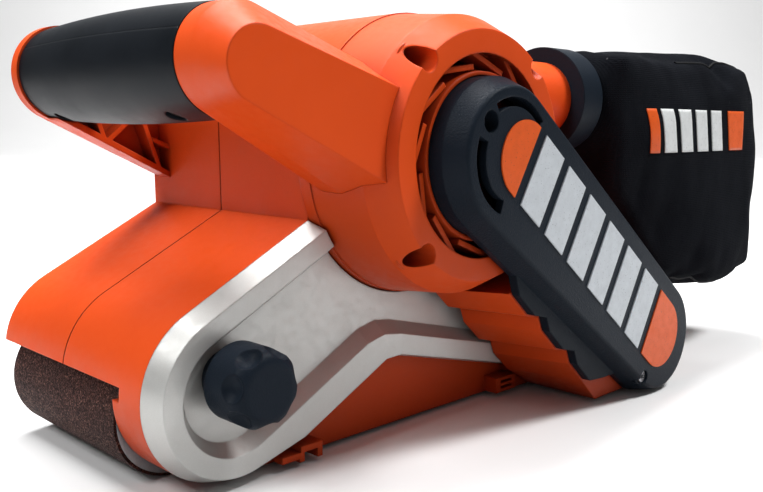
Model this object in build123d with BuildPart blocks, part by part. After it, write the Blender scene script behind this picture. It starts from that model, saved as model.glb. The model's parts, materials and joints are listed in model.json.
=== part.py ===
"""Handheld belt sander, built as separate named pieces (millimetres, +Z up).

The origin lies on the flat underside of the sanding belt, midway between the two rollers.
The nose points along -X, the operator's right is +Y and the drive cover is on the -Y side.
"""
import os
from math import atan2, cos, degrees, hypot, radians, sin, sqrt

from build123d import *

# ---------------------------------------------------------------- driving dimensions
BELT_W = 76.0            # standard 76 x 533 mm belt
BELT_T = 1.0
ROLL_R = 20.45           # both rollers carry the belt on this radius
LOOP_R = 21.5            # outer radius of the belt on a roller
AXLE_X = 100.25          # half the roller spacing
AXLE_Z = LOOP_R

FRONT = (-AXLE_X, AXLE_Z)
REAR = (AXLE_X, AXLE_Z)
MOTOR = (-10.5, 104.3)   # motor axis, in X and Z
NOSE = (-92.6, 31.0)     # centre of the round nose of the side plate
KNOB = (-95.0, 37.0)
GRIP = (-97.0, 133.6)
SLOPE = 27.4             # angle of the shroud and the side plate, degrees

Y_RIGHT = 44.5           # right face of the body
Y_SPLIT = -5.0           # parting line of the clamshell
Y_CHEEK_IN = -43.3
Y_CHEEK = -56.0
Y_BODY = -61.2           # left end of the clamshell
Y_PLATE = -64.0
Y_CAP = -95.0            # face of the end cap ring
Y_COVER = -96.0
Y_FACE = -107.0

WALL = 2.8
DRUM_R = 51.0
NOSE_R = 29.8
SHELL_R = 28.6           # rear shroud around the drive roller
FIT = 0.05               # radial clearance of running fits
FLOOR_Z = 1.6            # lowest point of everything but the belt


os.makedirs("parts", exist_ok=True)


# ---------------------------------------------------------------- small helpers
def at_y(y):
    """Workplane facing the operator's left, at station y (local x = X, local y = Z)."""
    return Plane.XZ.offset(-y)


def on(centre, radius, angle):
    """Point on a circle, angle in degrees."""
    return (centre[0] + radius * cos(radians(angle)), centre[1] + radius * sin(radians(angle)))


def on3(centre, radius, angle, y):
    """Point beside an axis along Y, as X, Y, Z."""
    x, z = on(centre, radius, angle)
    return (x, y, z)


def away(angle):
    """Unit direction in the XZ plane."""
    return (cos(radians(angle)), 0, sin(radians(angle)))


def arc(centre, radius, start, end):
    """Arc drawn into the active line builder from start to end angle."""
    CenterArc(centre, radius, start, end - start)


def save(part, label):
    """Label one piece and write it as a STEP file."""
    part.label = label
    export_step(part, f"parts/{label}.step")


def disc(centre, radius, y0, y1, mode=Mode.ADD):
    """Cylinder along Y from station y0 down to y1."""
    with BuildSketch(at_y(y0)) as face:
        with Locations(centre):
            Circle(radius)
    extrude(face.sketch, amount=y0 - y1, mode=mode)


def ring(centre, outer, inner, y0, y1, mode=Mode.ADD):
    """Tube along Y from station y0 down to y1."""
    with BuildSketch(at_y(y0)) as face:
        with Locations(centre):
            Circle(outer)
            Circle(inner, mode=Mode.SUBTRACT)
    extrude(face.sketch, amount=y0 - y1, mode=mode)


def block(points, y0, y1, mode=Mode.ADD):
    """Prism along Y over a closed polygon of X, Z points."""
    with BuildSketch(at_y(y0)) as face:
        with BuildLine() as line:
            Polyline(*points, close=True)
        make_face(line.edges())
    extrude(face.sketch, amount=y0 - y1, mode=mode)


def rod(centre, x0, x1, radius, mode=Mode.ADD):
    """Cylinder along X from x0 to x1 around the point (y, z)."""
    with Locations(Plane(origin=((x0 + x1) / 2, centre[0], centre[1]), z_dir=(1, 0, 0))):
        Cylinder(radius, x1 - x0, mode=mode)


def box(x0, x1, y0, y1, z0, z1, mode=Mode.ADD):
    """Axis aligned box from its limits."""
    with Locations(((x0 + x1) / 2, (y0 + y1) / 2, (z0 + z1) / 2)):
        Box(x1 - x0, y1 - y0, z1 - z0, mode=mode)


def hull_outline(c1, r1, c2, r2):
    """Closed outline around two circles, drawn into the active line builder."""
    span = hypot(c2[0] - c1[0], c2[1] - c1[1])
    axis = degrees(atan2(c2[1] - c1[1], c2[0] - c1[0]))
    lean = degrees(atan2(sqrt(span * span - (r1 - r2) ** 2), r1 - r2))
    arc(c1, r1, axis + lean, axis - lean + 360)
    arc(c2, r2, axis - lean, axis + lean)
    Line(on(c1, r1, axis + lean), on(c2, r2, axis + lean))
    Line(on(c1, r1, axis - lean), on(c2, r2, axis - lean))


def hull(c1, r1, c2, r2, y0, y1, mode=Mode.ADD):
    """Prism along Y over the hull of two circles."""
    with BuildSketch(at_y(y0)) as face:
        with BuildLine() as line:
            hull_outline(c1, r1, c2, r2)
        make_face(line.edges())
    extrude(face.sketch, amount=y0 - y1, mode=mode)


def screw(centre, y, head_r, head_h, shank_r, length, way):
    """Cross-head screw along Y: its head starts at y and it runs in direction way (+1 or -1)."""
    neck = y + way * head_h
    tip = neck + way * length
    disc(centre, head_r, max(y, neck), min(y, neck))
    disc(centre, shank_r, max(neck, tip), min(neck, tip))
    for angle in (45, 135):
        with BuildSketch(at_y(y)) as face:
            with Locations(centre):
                Rectangle(head_r * 1.2, head_r * 0.28, rotation=angle)
        extrude(face.sketch, amount=-way * head_h * 0.55, mode=Mode.SUBTRACT)


# ---------------------------------------------------------------- shared outlines
FRONT_WALL = 158.4       # angle where the drum meets the flat front wall
TOP_ANGLE = 90 + SLOPE   # tangent point of the shroud on the nose


def upper_lines():
    """Shroud slope, front wall, drum and rear deck of the body, nose to tail."""
    slope_start = on(NOSE, NOSE_R, TOP_ANGLE)
    foot = (-57.4, slope_start[1] + (-57.4 - slope_start[0]) * sin(radians(SLOPE)) / cos(radians(SLOPE)))
    wall_top = on(MOTOR, DRUM_R, FRONT_WALL)
    Polyline(slope_start, foot, (wall_top[0] + 0.4, 92.0), wall_top)
    arc(MOTOR, DRUM_R, FRONT_WALL, -26)
    Line(on(MOTOR, DRUM_R, -26), on(REAR, SHELL_R, 80))


def body_face():
    """Outline of the clamshell above the belt."""
    with BuildLine() as line:
        arc(NOSE, NOSE_R, 172, TOP_ANGLE)
        upper_lines()
        arc(REAR, SHELL_R, 80, -14)
        Polyline(on(REAR, SHELL_R, -14), (AXLE_X, 14.0), (-AXLE_X, 30.0), on(NOSE, NOSE_R, 172))
    make_face(line.edges())


def side_face():
    """Outline of the closed left wall, which reaches down past the belt."""
    nose_low = 180 + degrees(atan2(NOSE[1] - FLOOR_Z, sqrt(NOSE_R ** 2 - (NOSE[1] - FLOOR_Z) ** 2)))
    tail_low = -degrees(atan2(AXLE_Z - FLOOR_Z, sqrt(SHELL_R ** 2 - (AXLE_Z - FLOOR_Z) ** 2)))
    with BuildLine() as line:
        arc(NOSE, NOSE_R, nose_low, TOP_ANGLE)
        upper_lines()
        arc(REAR, SHELL_R, 80, tail_low)
        Line(on(REAR, SHELL_R, tail_low), on(NOSE, NOSE_R, nose_low))
    make_face(line.edges())


def tunnel_face(extra=0.0, mode=Mode.ADD):
    """Room for the belt and both rollers, widened by extra."""
    front_r = LOOP_R + 1.6 + extra
    rear_r = LOOP_R + 3.0 + extra
    with BuildLine() as line:
        Polyline((FRONT[0], -8), (FRONT[0], AXLE_Z + front_r),
                 (REAR[0], AXLE_Z + rear_r), (REAR[0], -8), close=True)
    make_face(line.edges(), mode=mode)
    with Locations(FRONT):
        Circle(front_r, mode=mode)
    with Locations(REAR):
        Circle(rear_r, mode=mode)


def plate_face(radius, rise):
    """Side plate outline at a nose radius; rise lifts the lower rail."""
    start = on(NOSE, radius, 282)
    top = on(NOSE, radius, TOP_ANGLE)
    reach = -30.0 - top[0]
    far = (-30.0, top[1] + reach * sin(radians(SLOPE)) / cos(radians(SLOPE)))
    with BuildLine() as line:
        arc(NOSE, radius, TOP_ANGLE, 282)
        Polyline(start, (-66.0, 9.0 + rise), (-27.0, 28.6 + rise), (-19.0, 28.9 + rise),
                 (52.0, 11.6 + rise), (52.0, 70.0), far, top)
    make_face(line.edges())


def recess_face(radius, rise):
    """Sunk field of the side plate around the knob, open under the drum."""
    start = on(NOSE, radius, 297)
    top = on(NOSE, radius, TOP_ANGLE)
    reach = -20.0 - top[0]
    far = (-20.0, top[1] + reach * sin(radians(SLOPE)) / cos(radians(SLOPE)))
    with BuildLine() as line:
        arc(NOSE, radius, TOP_ANGLE, 297)
        Polyline(start, (-36.5, 37.6 + rise), (-28.0, 39.6 + rise), (-20.0, 38.6 + rise),
                 (60.0, 19.0 + rise), (60.0, 75.0), far, top)
    make_face(line.edges())


# ---------------------------------------------------------------- stations and sizes of the pieces
BORE_R = DRUM_R - WALL       # inside of the drum
FRONT_INSIDE = -55.0         # inner face of the flat front wall
CORE_R = 42.0                # stator core
BOSS_AT = [(-70.0, 61.0), (60.0, 58.5)]
CAP_SCREWS = [on(MOTOR, 43.0, angle) for angle in (47, 133, 227, 313)]
TAIL = (99.5, 24.5)          # round lower end of the drive cover
HANDLE_HALF = 17.0           # half thickness of the rear handle
HANDLE_PATH = [((36.0, 128.0), 15.0), ((120.0, 131.0), 13.5), ((146.0, 106.0), 13.0), ((126.0, 52.0), 12.0)]
TRIGGER_PIVOT = (99.0, 122.0)
LOCK_AT = (112.0, 127.0)
DIAL_AT = (124.0, 135.5)
GLAND_AT = (Y_SPLIT, 84.0)
OUTLET = (-60.0, 126.0)      # dust outlet axis, in Y and Z
OUTLET_R = 16.0
COVER_SCREWS = [on(MOTOR, 17.2, 136), on(TAIL, 21.0, 225)]
COVER_SCREW_Y = (-101.5, -106.0)
GRIP_SCREWS = (26.0, -50.0)
GRIP_SCREW_WAY = 248


def handle_solid(y0, y1, less=0.0, mode=Mode.ADD):
    """Rear loop handle between two stations, thinned by less."""
    for (c1, r1), (c2, r2) in zip(HANDLE_PATH, HANDLE_PATH[1:]):
        hull(c1, r1 - less, c2, r2 - less, y0, y1, mode)


def hollow(y0, y1):
    """Cut the inside of the body, keeping a wall around the belt tunnel."""
    with BuildSketch(at_y(y0)) as face:
        body_face()
        offset(amount=-WALL, kind=Kind.INTERSECTION)
        tunnel_face(WALL, Mode.SUBTRACT)
    extrude(face.sketch, amount=y0 - y1, mode=Mode.SUBTRACT)


def motor_bore(y0, y1, inner=0.0, mode=Mode.SUBTRACT):
    """Round motor space, flattened behind the front wall; inner leaves only a rib around it."""
    with BuildSketch(at_y(y0)) as face:
        with Locations(MOTOR):
            Circle(BORE_R)
        with Locations((FRONT_INSIDE + 60.0, MOTOR[1])):
            Rectangle(120.0, 120.0, mode=Mode.INTERSECT)
        if inner:
            with Locations(MOTOR):
                Circle(inner, mode=Mode.SUBTRACT)
    extrude(face.sketch, amount=y0 - y1, mode=mode)


def shadow_gap(y0, y1):
    """Shallow rebate along the outer edge of the parting line."""
    with BuildSketch(at_y(y0)) as face:
        body_face()
        with BuildSketch(mode=Mode.PRIVATE) as core:
            body_face()
            offset(amount=-0.4, kind=Kind.INTERSECTION)
        add(core.sketch, mode=Mode.SUBTRACT)
    extrude(face.sketch, amount=y0 - y1, mode=Mode.SUBTRACT)


def tunnel(y0, y1):
    """Cut the room for the belt."""
    with BuildSketch(at_y(y0)) as face:
        tunnel_face()
    extrude(face.sketch, amount=y0 - y1, mode=Mode.SUBTRACT)


def handle_openings():
    """Openings of the rear handle: trigger slot, dial slot, lock button bore and cord gland bore."""
    box(63.0, 107.0, Y_SPLIT - 8.0, Y_SPLIT + 8.0, 106.0, 140.6, Mode.SUBTRACT)
    box(DIAL_AT[0] - 10.4, DIAL_AT[0] + 10.4, Y_SPLIT - 4.4, Y_SPLIT + 4.4, 125.0, 150.0, Mode.SUBTRACT)
    disc(LOCK_AT, 4.0 + FIT, Y_SPLIT - 10.0, Y_SPLIT - HANDLE_HALF - 1, Mode.SUBTRACT)
    rod(GLAND_AT, 144.0, 160.0, 6.0, Mode.SUBTRACT)


# ---------------------------------------------------------------- right half of the body
with BuildPart() as right_housing:
    with BuildSketch(at_y(Y_RIGHT)) as section:
        body_face()
    extrude(section.sketch, amount=Y_RIGHT - Y_SPLIT)
    chamfer(right_housing.edges().group_by(Axis.Y)[-1], 1.6)
    handle_solid(Y_SPLIT + HANDLE_HALF, Y_SPLIT)
    hollow(Y_RIGHT - WALL, Y_SPLIT)
    handle_solid(Y_SPLIT + HANDLE_HALF - WALL, Y_SPLIT, WALL, Mode.SUBTRACT)
    tunnel(Y_RIGHT + 1, Y_SPLIT - 1)
    motor_bore(Y_RIGHT - WALL, Y_SPLIT)
    disc(MOTOR, 36.0, Y_RIGHT, Y_RIGHT - WALL, Mode.SUBTRACT)
    motor_bore(8.0, 5.0, CORE_R, Mode.ADD)
    for spot in BOSS_AT:
        disc(spot, 4.5, Y_RIGHT - WALL, Y_SPLIT)
        disc(spot, 4.0, Y_RIGHT + 1, Y_RIGHT - 12, Mode.SUBTRACT)
        disc(spot, 2.1, Y_RIGHT - 12, Y_SPLIT, Mode.SUBTRACT)
    handle_openings()
    shadow_gap(Y_SPLIT + 0.3, Y_SPLIT)
save(right_housing.part, "right_housing")

# ---------------------------------------------------------------- left half of the body
with BuildPart() as left_housing:
    with BuildSketch(at_y(Y_SPLIT)) as section:
        body_face()
    extrude(section.sketch, amount=Y_SPLIT - Y_CHEEK)
    with BuildSketch(at_y(Y_CHEEK_IN)) as section:
        side_face()
    extrude(section.sketch, amount=Y_CHEEK_IN - Y_CHEEK)
    with BuildSketch(at_y(Y_CHEEK)) as section:
        side_face()
        with Locations((154.0, 60.0)):
            Rectangle(200.0, 220.0, mode=Mode.INTERSECT)
        with Locations(MOTOR):
            Circle(DRUM_R)
    extrude(section.sketch, amount=Y_CHEEK - Y_BODY)
    handle_solid(Y_SPLIT, Y_SPLIT - HANDLE_HALF)
    hollow(Y_SPLIT, Y_CHEEK + WALL)
    handle_solid(Y_SPLIT, Y_SPLIT - HANDLE_HALF + WALL, WALL, Mode.SUBTRACT)
    tunnel(Y_SPLIT + 1, Y_CHEEK_IN)
    motor_bore(Y_SPLIT, Y_BODY)
    motor_bore(-30.0, -33.0, CORE_R, Mode.ADD)
    block([(-106.0, 24.0), (-62.0, 22.0), (-28.0, 36.0), (46.0, 20.0), (46.0, 44.0), (-62.0, 44.0)],
          Y_CHEEK + 9.0, Y_CHEEK, Mode.SUBTRACT)
    with BuildSketch(at_y(-39.2)) as lip:
        with Locations(NOSE):
            Circle(NOSE_R)
            Circle(27.2, mode=Mode.SUBTRACT)
        with Locations((-122.0, 16.1)):
            Rectangle(40.0, 29.0, mode=Mode.INTERSECT)
    extrude(lip.sketch, amount=-39.2 - Y_CHEEK_IN + 0.5)
    disc(KNOB, 8.0, Y_CHEEK + 9.0, Y_CHEEK)
    disc(KNOB, 4.0 + FIT, Y_CHEEK_IN + 1, Y_CHEEK - 1, Mode.SUBTRACT)
    disc(REAR, 8.0, Y_CHEEK_IN + 1, Y_BODY, Mode.SUBTRACT)
    disc(REAR, 13.0, Y_BODY + 9.0, Y_BODY, Mode.SUBTRACT)
    for spot in BOSS_AT:
        disc(spot, 4.5, Y_SPLIT, Y_CHEEK + WALL)
        disc(spot, 1.6, Y_SPLIT, Y_SPLIT - 26.0, Mode.SUBTRACT)
    for spot in CAP_SCREWS:
        disc(spot, 5.4, Y_BODY + 18.0, Y_BODY)
        disc(spot, 1.6, Y_BODY + 16.0, Y_BODY, Mode.SUBTRACT)
    for x, z in ((-67.0, 4.8), (-75.0, 2.8)):
        box(x, x + 9.6, Y_CHEEK - 7.0, Y_CHEEK, z, z + 2.2)
        box(x + 7.4, x + 9.6, Y_CHEEK - 7.0, Y_CHEEK, FLOOR_Z, z + 2.2)
    box(40.0, 53.4, Y_CHEEK - 7.0, Y_CHEEK, 2.2, 8.6)
    for z in (3.6, 6.0):
        box(43.0, 51.0, Y_CHEEK - 8.0, Y_CHEEK - 4.0, z, z + 1.2, Mode.SUBTRACT)
    rod(OUTLET, 20.0, 60.0, 12.5, Mode.SUBTRACT)
    handle_openings()
    shadow_gap(Y_SPLIT, Y_SPLIT - 0.3)
save(left_housing.part, "left_housing")

# ---------------------------------------------------------------- motor end cap and its right-hand cover
SPIN_PLANE = Plane(origin=(MOTOR[0], 0, MOTOR[1]), x_dir=(1, 0, 0), z_dir=(0, 0, 1))
SPIN_AXIS = Axis((MOTOR[0], 0, MOTOR[1]), (0, 1, 0))


def turned(points, mode=Mode.ADD):
    """Solid turned about the motor axis from points of radius and station y."""
    with BuildSketch(SPIN_PLANE) as face:
        with BuildLine() as line:
            Polyline(*points, close=True)
        make_face(line.edges())
    revolve(face.sketch, axis=SPIN_AXIS, mode=mode)


VANES = 12
VANE_SWEEP = 22.0            # degrees a vane leans out of the tangent


def vane(turn, width, inner, outer, y0, y1):
    """Swept bar across the air ring between two radii."""
    with BuildSketch(at_y(y0)) as face:
        with Locations(on(MOTOR, 33.0, turn)):
            Rectangle(24.0, width, rotation=turn + 90.0 - VANE_SWEEP)
        with Locations(MOTOR):
            Circle(outer, mode=Mode.INTERSECT)
            Circle(inner, mode=Mode.SUBTRACT)
    extrude(face.sketch, amount=y0 - y1)


with BuildPart() as motor_end_cap:
    turned([(50.6, Y_BODY), (48.6, -84.4), (43.0, Y_CAP), (35.0, Y_CAP), (36.5, -86.5), (30.0, -86.5),
            (29.0, -93.6), (27.7, -93.6), (27.7, -89.5), (6.0, -89.5), (6.0, -84.0), (11.0, -84.0),
            (11.0, -76.0), (14.5, -76.0), (14.5, -84.0), (44.0, -84.0), (47.6, Y_BODY)])
    for spot in CAP_SCREWS:
        disc(spot, 5.4, Y_BODY, -86.0)
        disc(spot, 4.2, -78.0, Y_CAP - 2, Mode.SUBTRACT)
        disc(spot, 2.1, Y_BODY + 1, -79.0, Mode.SUBTRACT)
    ring(MOTOR, 35.9, 30.6, -83.0, -87.5, Mode.SUBTRACT)
    for index in range(VANES):
        vane(index * 360.0 / VANES, 1.9, 29.2, 37.0, -84.2, -92.8)
    disc(COVER_SCREWS[0], 1.6, -83.0, -90.0, Mode.SUBTRACT)
    hull(MOTOR, 9.5, REAR, 18.5, -92.6, Y_COVER, Mode.SUBTRACT)
    rod(OUTLET, 20.0, 60.0, 12.5, Mode.SUBTRACT)
save(motor_end_cap.part, "motor_end_cap")

with BuildPart() as right_end_cover:
    disc(MOTOR, 42.0, Y_RIGHT + 5.5, Y_RIGHT)
    chamfer(right_end_cover.edges().filter_by(GeomType.CIRCLE).group_by(Axis.Y)[-1], 2.5)
    ring(MOTOR, 35.8, 33.0, Y_RIGHT, Y_RIGHT - WALL)
    disc(MOTOR, 14.5, Y_RIGHT, 33.0)
    disc(MOTOR, 11.0, 41.0, 32.0, Mode.SUBTRACT)
    for row in range(-3, 4):
        with Locations((MOTOR[0], Y_RIGHT + 4, MOTOR[1] + row * 8.0)):
            if abs(row) > 1:
                Box(40.0, 12.0, 3.2, mode=Mode.SUBTRACT)
save(right_end_cover.part, "right_end_cover")

# ---------------------------------------------------------------- front handle and its grip
ARM_FOOT = (-35.0, 106.0)
Y_GRIP = -66.0
Y_WEB = 38.0
Y_RIB = 30.5
GRIP_CROWN = 18.6            # radius at the middle of the barrel-shaped grip

with BuildPart() as front_handle:
    hull(GRIP, 16.8, ARM_FOOT, 23.0, Y_GRIP, -74.5)
    with BuildSketch(at_y(-74.5)) as inner_end:
        with BuildLine() as line:
            hull_outline(GRIP, 16.8, ARM_FOOT, 23.0)
        make_face(line.edges())
    with BuildSketch(at_y(-91.5)) as outer_end:
        with BuildLine() as line:
            hull_outline((-103.0, 131.0), 10.8, (-48.0, 110.5), 15.0)
        make_face(line.edges())
    loft([inner_end.sketch.face(), outer_end.sketch.face()])
    hull(GRIP, 17.8, (-50.0, 112.0), 19.0, 43.0, Y_WEB)
    block([(-108.0, 121.0), (-104.0, 117.2), (-57.4, 93.6), (-57.4, 96.0), (-103.0, 119.6)], Y_WEB, Y_RIB)
    block([(-86.0, 108.6), (-84.0, 107.6), (-88.0, 119.5), (-90.0, 119.5)], Y_WEB, Y_RIB)
    block([(-86.0, 108.6), (-84.0, 107.6), (-70.0, 119.5), (-72.6, 119.5)], Y_WEB, Y_RIB)
    block([(-62.6, 96.5), (-60.6, 95.6), (-69.0, 119.5), (-71.0, 119.5)], Y_WEB, Y_RIB)
    block([(-65.0, 110.0), (-65.0, 108.2), (-57.4, 105.0), (-57.4, 107.0)], Y_WEB, Y_RIB)
    disc(GRIP, 17.05, Y_WEB, Y_GRIP, Mode.SUBTRACT)
    disc(GRIP, GRIP_CROWN - 0.8, Y_WEB, Y_RIB - 1, Mode.SUBTRACT)
    disc(GRIP, 13.4, Y_WEB + 1, Y_GRIP - 1)
    turned([(0.0, Y_CHEEK), (DRUM_R, Y_CHEEK), (DRUM_R, Y_BODY), (50.6, Y_BODY), (48.6, -84.4),
            (43.0, Y_CAP), (0.0, Y_CAP)], Mode.SUBTRACT)
    with BuildSketch(at_y(Y_RIGHT)) as body:
        body_face()
    extrude(body.sketch, amount=Y_RIGHT - Y_CHEEK, mode=Mode.SUBTRACT)
    for y in GRIP_SCREWS:
        with Locations(Plane(origin=on3(GRIP, 10.0, GRIP_SCREW_WAY, y), z_dir=away(GRIP_SCREW_WAY))):
            Cylinder(1.5, 12.0, mode=Mode.SUBTRACT)
save(front_handle.part, "front_handle")


def grip_half(upper):
    """Half of the barrel-shaped soft sleeve on the front handle, parted along a slanted plane."""
    way = Vector(cos(radians(60)), 0, sin(radians(60)))
    middle = Vector(GRIP[0], 0, GRIP[1])
    cut = Plane(origin=middle, z_dir=way)
    with BuildPart() as half:
        with BuildSketch(Plane(origin=middle, x_dir=(1, 0, 0), z_dir=(0, 0, 1))) as profile:
            with BuildLine() as line:
                ThreePointArc((17.0, Y_WEB - 0.1), (GRIP_CROWN, (Y_WEB + Y_GRIP) / 2), (17.0, Y_GRIP + 0.1))
                Polyline((17.0, Y_GRIP + 0.1), (13.45, Y_GRIP + 0.1), (13.45, Y_WEB - 0.1), (17.0, Y_WEB - 0.1))
            make_face(line.edges())
        revolve(profile.sketch, axis=Axis(middle, (0, 1, 0)))
        split(bisect_by=cut, keep=Keep.TOP if upper else Keep.BOTTOM)
        if not upper:
            for y in GRIP_SCREWS:
                with Locations(Plane(origin=on3(GRIP, 20.0, GRIP_SCREW_WAY, y), z_dir=away(GRIP_SCREW_WAY))):
                    Cylinder(3.4, 9.6, mode=Mode.SUBTRACT)
                with Locations(Plane(origin=on3(GRIP, 14.0, GRIP_SCREW_WAY, y), z_dir=away(GRIP_SCREW_WAY))):
                    Cylinder(1.5, 6.0, mode=Mode.SUBTRACT)
    return half.part


save(grip_half(True), "grip_upper")
save(grip_half(False), "grip_lower")

# ---------------------------------------------------------------- drive housing, its cover and label
STEP = (19.6, -16.4)         # pitch of the steps under the drive cover


def stepped(start, shift, drop, low):
    """Stepped underside of the drive housing, closed over the motor and the tail."""
    points = [start]
    for index in range(3):
        x = 4.4 + shift + index * STEP[0]
        z = 54.4 - drop + index * STEP[1]
        points += [(x, z), (x + 9.8, z - 8.8), (x + 17.2, z - 10.6)]
    return points[:-1] + [(64.0, low), (TAIL[0], low), TAIL, (30.0, 88.0)]


with BuildPart() as drive_housing:
    with BuildSketch(at_y(Y_PLATE - 0.4)) as inner_end:
        with BuildLine() as line:
            Polyline(*stepped((-20.0, 66.0), -8.0, 0.6, 2.0), close=True)
        make_face(line.edges())
    with BuildSketch(at_y(Y_COVER)) as outer_end:
        with BuildLine() as line:
            Polyline(*stepped((-12.0, 66.0), 0.0, 0.6, 2.0), close=True)
        make_face(line.edges())
    loft([inner_end.sketch.face(), outer_end.sketch.face()], ruled=True)
    hull(MOTOR, 30.0, TAIL, 26.5, Y_PLATE - 0.4, Y_COVER)
    block([(55.0, 13.0), (58.0, 5.5), (64.0, 2.0), (TAIL[0], 2.0), TAIL, (55.0, 70.0)], Y_BODY, Y_PLATE - 1)
    hull((70.0, 47.0), 25.0, TAIL, 26.5, Y_BODY, Y_PLATE - 1)
    box(-80.0, 53.0, Y_PLATE - 0.4, Y_BODY + 1, -20.0, 120.0, Mode.SUBTRACT)
    box(0.0, 140.0, -110.0, -40.0, -20.0, 2.0, Mode.SUBTRACT)
    hull((64.0, 50.0), 14.0, TAIL, 22.0, Y_BODY + 1, -88.0, Mode.SUBTRACT)
    disc(REAR, 8.0, -85.0, Y_COVER - 1, Mode.SUBTRACT)
    hull(MOTOR, 15.0, REAR, 18.5, -91.5, Y_COVER - 1, Mode.SUBTRACT)
    disc(MOTOR, 51.3, Y_BODY + 1, Y_COVER - 1, Mode.SUBTRACT)
    disc(COVER_SCREWS[1], 1.6, -85.0, Y_COVER - 1, Mode.SUBTRACT)
save(drive_housing.part, "drive_housing")

with BuildPart() as belt_cover:
    hull(MOTOR, 27.3, TAIL, 26.0, Y_COVER, -99.0)
    block(stepped((1.6, 64.0), 0.4, 0.0, 12.0), Y_COVER, -99.6)
    with BuildSketch(at_y(-99.0)) as crown:
        with BuildLine() as line:
            hull_outline(MOTOR, 27.3, TAIL, 26.0)
        make_face(line.edges())
    extrude(crown.sketch, amount=-99.0 - Y_FACE, taper=24.0)
    fillet(belt_cover.faces().sort_by(Axis.Y)[0].edges(), 1.6)
    hull(MOTOR, 24.4, TAIL, 23.2, Y_COVER, -99.0, Mode.SUBTRACT)
    hull(MOTOR, 20.5, TAIL, 19.5, -99.0, -104.0, Mode.SUBTRACT)
    ring(MOTOR, 27.3, 24.8, -90.5, Y_COVER)
    hull(MOTOR, 9.5, REAR, 16.0, -90.0, Y_COVER, Mode.SUBTRACT)
    box(60.0, 140.0, -110.0, -90.0, -20.0, 2.0, Mode.SUBTRACT)
    for inner, outer, start, end in ((17.0, 20.2, 37, 119), (14.9, 19.6, 158, 250)):
        with BuildSketch(at_y(-103.0)) as slot:
            with BuildLine() as line:
                arc(MOTOR, inner, start, end)
                arc(MOTOR, outer, start, end)
                Line(on(MOTOR, inner, start), on(MOTOR, outer, start))
                Line(on(MOTOR, inner, end), on(MOTOR, outer, end))
            make_face(line.edges())
        extrude(slot.sketch, amount=6.0, mode=Mode.SUBTRACT)
    for spot, radius, y in zip(COVER_SCREWS, (4.6, 3.6), COVER_SCREW_Y):
        disc(spot, radius, Y_COVER, -104.6)
        disc(spot, radius - 0.9, y + 2.0, Y_FACE - 1, Mode.SUBTRACT)
        disc(spot, 1.8, Y_COVER + 1, -105.0, Mode.SUBTRACT)
save(belt_cover.part, "belt_cover")

LABEL_TOP = (-4.0, 103.5)
LABEL_LOW = (97.0, 26.5)
LABEL_TILT = degrees(atan2(LABEL_LOW[1] - LABEL_TOP[1], LABEL_LOW[0] - LABEL_TOP[0]))
LABEL_LEAN = 96.0            # angle between the label's length and its slanted cuts
BAR_COUNT = 6
BAR_GAP = 4.6


def label_slice(start, end):
    """Part of the rounded label between two distances along it, cut on a slant."""
    with BuildSketch(at_y(Y_FACE)) as face:
        with BuildLine() as line:
            hull_outline(LABEL_TOP, 13.5, LABEL_LOW, 14.6)
        make_face(line.edges())
        with Locations(on(LABEL_TOP, (start + end) / 2, LABEL_TILT)):
            Rectangle(end - start, 60.0, rotation=LABEL_TILT + LABEL_LEAN - 90.0, mode=Mode.INTERSECT)
    extrude(face.sketch, amount=0.5)


with BuildPart() as label_eyes:
    label_slice(-20.0, 1.2)
    label_slice(116.0, 150.0)
save(label_eyes.part, "label_eyes")

with BuildPart() as label_bars:
    pitch = (116.0 - 1.2 - BAR_GAP) / BAR_COUNT
    for index in range(BAR_COUNT):
        near = 1.2 + BAR_GAP + index * pitch
        label_slice(near, near + pitch - BAR_GAP)
save(label_bars.part, "label_bars")

# ---------------------------------------------------------------- side plate, tracking knob and screw
with BuildPart() as side_plate:
    with BuildSketch(at_y(Y_CHEEK)) as root:
        plate_face(NOSE_R, 0.0)
    with BuildSketch(at_y(Y_PLATE)) as crown:
        plate_face(26.8, 1.6)
    loft([root.sketch.face(), crown.sketch.face()])
    with BuildSketch(at_y(Y_PLATE - 0.01)) as mouth:
        recess_face(20.0, 0.0)
    with BuildSketch(at_y(Y_CHEEK - 2.2)) as floor:
        recess_face(16.4, 4.4)
    loft([mouth.sketch.face(), floor.sketch.face()], mode=Mode.SUBTRACT)
    disc(MOTOR, 51.6, Y_CHEEK + 1, Y_PLATE - 1, Mode.SUBTRACT)
    box(-140.0, 60.0, Y_PLATE - 1, Y_CHEEK + 1, -20.0, FLOOR_Z, Mode.SUBTRACT)
    box(-85.0, -72.0, Y_PLATE - 1, Y_CHEEK - 1.5, 3.4, 5.0, Mode.SUBTRACT)
    disc(KNOB, 4.0 + FIT, Y_CHEEK + 1, Y_PLATE - 1, Mode.SUBTRACT)
save(side_plate.part, "side_plate")

with BuildPart() as tracking_knob:
    disc(KNOB, 12.4, -67.0, -83.6)
    fillet(tracking_knob.faces().sort_by(Axis.Y)[0].edges(), 4.6)
    for index in range(7):
        turn = index * 360 / 7 + 14
        with Locations(Plane(origin=on3(KNOB, 15.0, turn, -81.0), x_dir=away(turn), z_dir=(0, 1, 0))):
            Sphere(5.6, mode=Mode.SUBTRACT)
    disc(KNOB, 8.5, -60.0, -67.0)
    disc(KNOB, 4.0, -59.9, -76.0, Mode.SUBTRACT)
save(tracking_knob.part, "tracking_knob")

with BuildPart() as tracking_screw:
    disc(KNOB, 4.0, -44.5, -76.0)
save(tracking_screw.part, "tracking_screw")

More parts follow.
